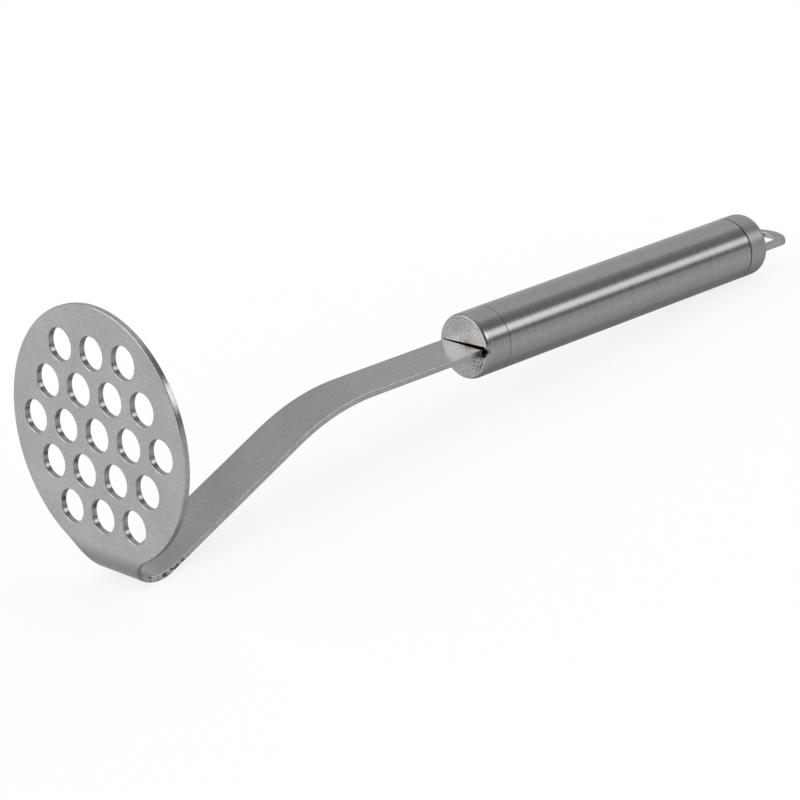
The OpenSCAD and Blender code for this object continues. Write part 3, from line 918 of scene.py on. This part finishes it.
class BUILD_OT_weld(bpy.types.Operator):
    """Makes the rippled weld bead under the bar, its blob at the -Y edge and the spatter beside it"""

    bl_idname = "masher.weld"
    bl_label = "Weld bead"

    def execute(self, context):
        s, f, m = chosen(context)
        skin = Skin()
        self.bead(skin, s, m)
        self.spatter(skin, s, m)
        skin.make("weld_bead", weld_metal(f), "slot_weld", "weld_bead")
        return {"FINISHED"}

    def bead(self, skin, s, m, rows=160, cols=20):
        """A tube along a path that runs under the bar and turns up at both of its edges. Its radius
        ripples along the path, swells at the -Y end and closes to a point at both ends."""
        half, low = s.bar_w / 2, -s.sheet_t / 2
        f = np.linspace(0, 1, rows)
        y = half * 1.02 * np.cos(np.clip((f - 0.04) / 0.92, 0, 1) * HALF)
        y = np.clip(y * 1.15, -half, half)
        lift = np.clip(np.abs(f - 0.5) - 0.44, 0, 1) / 0.06
        z = low + lift * np.where(f > 0.5, 1.0, 0.8) * MM
        ahead = 0.15 * MM
        path = np.stack([0 * f - ahead, y, z], 1)
        swell = 1 + 0.10 * np.exp(-((f - 0.95) / 0.04) ** 2)
        ripple = 1 + 0.07 * np.sin(f * FULL * 24) + 0.05 * np.sin(f * FULL * 7.3 + 1)
        ends = np.sqrt(np.clip(1 - np.abs(2 * f - 1) ** 40, 0, 1))
        r = 0.72 * s.bead_r * swell * ripple * ends
        a = np.arange(cols) / cols * FULL
        way = np.stack([np.cos(a), 0 * a, np.sin(a)], 1)
        uneven = 1 + 0.08 * np.sin(a[None] * 3 + f[:, None] * 19)
        place = path[:, None] + (r[:, None] * uneven)[..., None] * way[None]
        place[[0, -1]] = path[[0, -1]][:, None]
        way = np.broadcast_to(way[None], place.shape).copy()
        way[0], way[-1] = [0, 0, 1], [0, 0, 1]
        place, way = (v.transpose(1, 0, 2) for v in gripped(m, place, way))
        skin.grid(place, way, np.append(a, FULL) * s.bead_r, f * s.bar_w, np.zeros((cols, rows)), True)

    def spatter(self, skin, s, m, count=26, rows=8, cols=10):
        """Small drops of weld metal on the cap's face below the bar's -Y edge: each is a flattened ball
        around its own centre, sunk halfway into the face."""
        rng = np.random.default_rng(4)
        (y, z), (wide, high), reach, (least, more) = (-6.3, -4.2), (2.2, 1.5), 9.3, (0.12, 0.16)
        centre = np.stack([0 * rng.random(count), y + wide * rng.standard_normal(count),
                           z + high * rng.standard_normal(count)], 1) * MM
        centre = centre[np.hypot(centre[:, 1], centre[:, 2]) < reach * MM]
        size = (least + more * rng.random(len(centre))) * MM
        b = np.linspace(0, HALF, rows)
        a = np.arange(cols) / cols * FULL
        ball = np.stack([np.cos(b)[None] + 0 * a[:, None], np.sin(b)[None] * np.cos(a)[:, None],
                         np.sin(b)[None] * np.sin(a)[:, None]], 2)
        ball[:, 0], ball[:, -1] = [1, 0, 0], [-1, 0, 0]
        for c, r in zip(centre, size):
            place, way = gripped(m, c + r * ball * [0.7, 1, 1], ball)
            skin.grid(place, way, np.append(a, FULL) * r, b * r, np.zeros(ball.shape[:2]), True)


class BUILD_OT_studio(bpy.types.Operator):
    """Sets up the floor, the soft light and the camera"""

    bl_idname = "masher.studio"
    bl_label = "Studio"

    def execute(self, context):
        st = context.scene.masher_studio
        self.floor(st)
        self.room(context.scene, st)
        self.camera(context.scene, st)
        context.scene.view_settings.view_transform = "Standard"
        return {"FINISHED"}

    def floor(self, st):
        """A wide flat floor at z = 0, pale and matt. Steel doesn't mirror it; the room's low bands
        stand in for it there."""
        half = 6.0
        corner_points = [(-half, -half, 0), (half, -half, 0), (half, half, 0), (-half, half, 0)]
        mesh = bpy.data.meshes.new("floor")
        mesh.from_pydata(corner_points, [], [(0, 1, 2, 3)])
        made = bpy.data.materials.new("Floor")
        made.use_nodes = True
        shader = made.node_tree.nodes["Principled BSDF"]
        shader.inputs["Base Color"].default_value = (*(c * (1 - st.floor_glow) for c in st.floor), 1)
        shader.inputs["Roughness"].default_value = 0.9
        shader.inputs["Specular IOR Level"].default_value = 0.0
        shader.inputs["Emission Color"].default_value = (1, 1, 1, 1)
        shader.inputs["Emission Strength"].default_value = st.floor_glow
        mesh.materials.append(made)
        floor = bpy.data.objects.new("floor", mesh)
        floor.visible_glossy = False
        bpy.context.scene.collection.objects.link(floor)

    def room(self, scene, st):
        """The world: white to the eye and to matt surfaces. Steel mirrors a grey room instead, whose
        tones lie in bands along X, with a long strip light, a large end light and a dark card in it."""
        world = bpy.data.worlds.new("Studio room")
        scene.world = world
        world.use_nodes = True
        world.node_tree.nodes.clear()
        tree = Tree(world.node_tree)
        way = tree.node("ShaderNodeTexCoord", out="Generated")
        x, y, z = way.parts()
        turn = tree.maths("ARCTAN2", z, y)

        def lobe(centre, outer, inner, bottom, top):
            """From bottom to top between two angles, in degrees, from a direction."""
            toward = tree.node("ShaderNodeVectorMath", {0: way, 1: Vector(centre).normalized()}, "Value",
                               operation="DOT_PRODUCT")
            return toward.spread(math.cos(math.radians(outer)), math.cos(math.radians(inner)), bottom, top)

        ramp = tree.node("ShaderNodeValToRGB", {0: tree.maths("MULTIPLY_ADD", turn, 1 / FULL, 0.5)}, None)
        keys = ramp.color_ramp.elements
        keys.remove(keys[0])
        for i, (degrees, tone) in enumerate(ROOM_BANDS.values()):
            share = degrees / 360 + 0.5
            key = keys[0] if i == 0 else keys.new(share)
            key.position, key.color = share, (tone, tone, tone, 1)
        ramp.color_ramp.interpolation = "EASE"
        bands = tree.node("ShaderNodeRGBToBW", {0: Wire(tree, ramp.outputs[0])})
        bands = bands * x.spread(0.1, -0.7, 1.0, 1.3)
        off_strip = abs(turn - st.strip_turn)
        fades = x.spread(0.05, 0.32, 0.0, st.strip_level) * x.spread(0.58, 0.76, 1.0, 0.62)
        strip = off_strip.spread(st.strip_width * 0.75, st.strip_width * 0.25) * fades
        # the flag darkens the bands at the strip's angle where the strip itself fades, towards the plate
        flag_outer, flag_inner, flag_depth = math.radians(32), math.radians(16), 0.7
        flag = off_strip.spread(flag_outer, flag_inner, 0.0, flag_depth) * x.spread(0.32, 0.1)
        bands = bands * (1.0 - flag) * lobe(st.card_way, outer=17, inner=11, bottom=1.0, top=0.08)
        level = bands + lobe(st.end_way, outer=28, inner=14, bottom=0.0, top=st.end_level)
        light = tree.blended(1.0, level.grey(), tree.blended(1.0, strip.grey(), st.strip, "MULTIPLY"), "ADD")
        mirrored_room = tree.node("ShaderNodeBackground", {"Strength": 1.0, "Color": light})
        plain = tree.node("ShaderNodeBackground", {"Strength": st.daylight, "Color": (1, 1, 1)})
        glossy = tree.node("ShaderNodeLightPath", out="Is Glossy Ray")
        both = tree.node("ShaderNodeMixShader", {0: glossy, 1: plain, 2: mirrored_room})
        tree.node("ShaderNodeOutputWorld", {0: both}, None)

    def camera(self, scene, st):
        """The camera looks at the aim point from its distance: the look direction comes from two
        angles, and the frame is then rolled about it."""
        ahead = Vector((math.cos(st.down) * math.cos(st.look), math.cos(st.down) * math.sin(st.look),
                        -math.sin(st.down)))
        level = ahead.cross(Vector((0, 0, 1))).normalized()
        upright = level.cross(ahead)
        right = math.cos(st.roll) * level + math.sin(st.roll) * upright
        above = math.cos(st.roll) * upright - math.sin(st.roll) * level
        data = bpy.data.cameras.new("Camera")
        data.lens, data.sensor_width, data.clip_end = st.lens, 36, 50
        camera = bpy.data.objects.new("Camera", data)
        turn = Matrix((right, above, -ahead)).transposed().to_4x4()
        camera.matrix_world = Matrix.Translation(Vector(st.aim) - st.away * ahead) @ turn
        scene.collection.objects.link(camera)
        scene.camera = camera


class MASHER_PT_panel(bpy.types.Panel):
    """Lists the masher's sizes, finishes and builders"""

    bl_idname = "MASHER_PT_panel"
    bl_label = "Potato masher"
    bl_space_type = "VIEW_3D"
    bl_region_type = "UI"
    bl_category = "Masher"

    def draw(self, context):
        layout_box = self.layout
        for operator in OPERATORS:
            layout_box.operator(operator.bl_idname)
        for group_name in ("masher_sizes", "masher_finish", "masher_studio"):
            values = getattr(context.scene, group_name)
            box = layout_box.box()
            for name in values.__annotations__:
                box.prop(values, name)


OPERATORS = (BUILD_OT_plate, BUILD_OT_caps, BUILD_OT_tube, BUILD_OT_loop, BUILD_OT_weld, BUILD_OT_studio)
GROUPS = (("masher_sizes", MasherSizes), ("masher_finish", MasherFinish), ("masher_studio", MasherStudio))


def register():
    for name, kind in GROUPS:
        bpy.utils.register_class(kind)
        setattr(bpy.types.Scene, name, PointerProperty(type=kind))
    for kind in (*OPERATORS, MASHER_PT_panel):
        bpy.utils.register_class(kind)


def unregister():
    for kind in (MASHER_PT_panel, *reversed(OPERATORS)):
        bpy.utils.unregister_class(kind)
    for name, kind in reversed(GROUPS):
        delattr(bpy.types.Scene, name)
        bpy.utils.unregister_class(kind)


def main():
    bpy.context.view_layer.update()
    register()
    for operator in OPERATORS:
        group_name, name = operator.bl_idname.split(".")
        getattr(getattr(bpy.ops, group_name), name)()


if __name__ == "__main__":
    main()
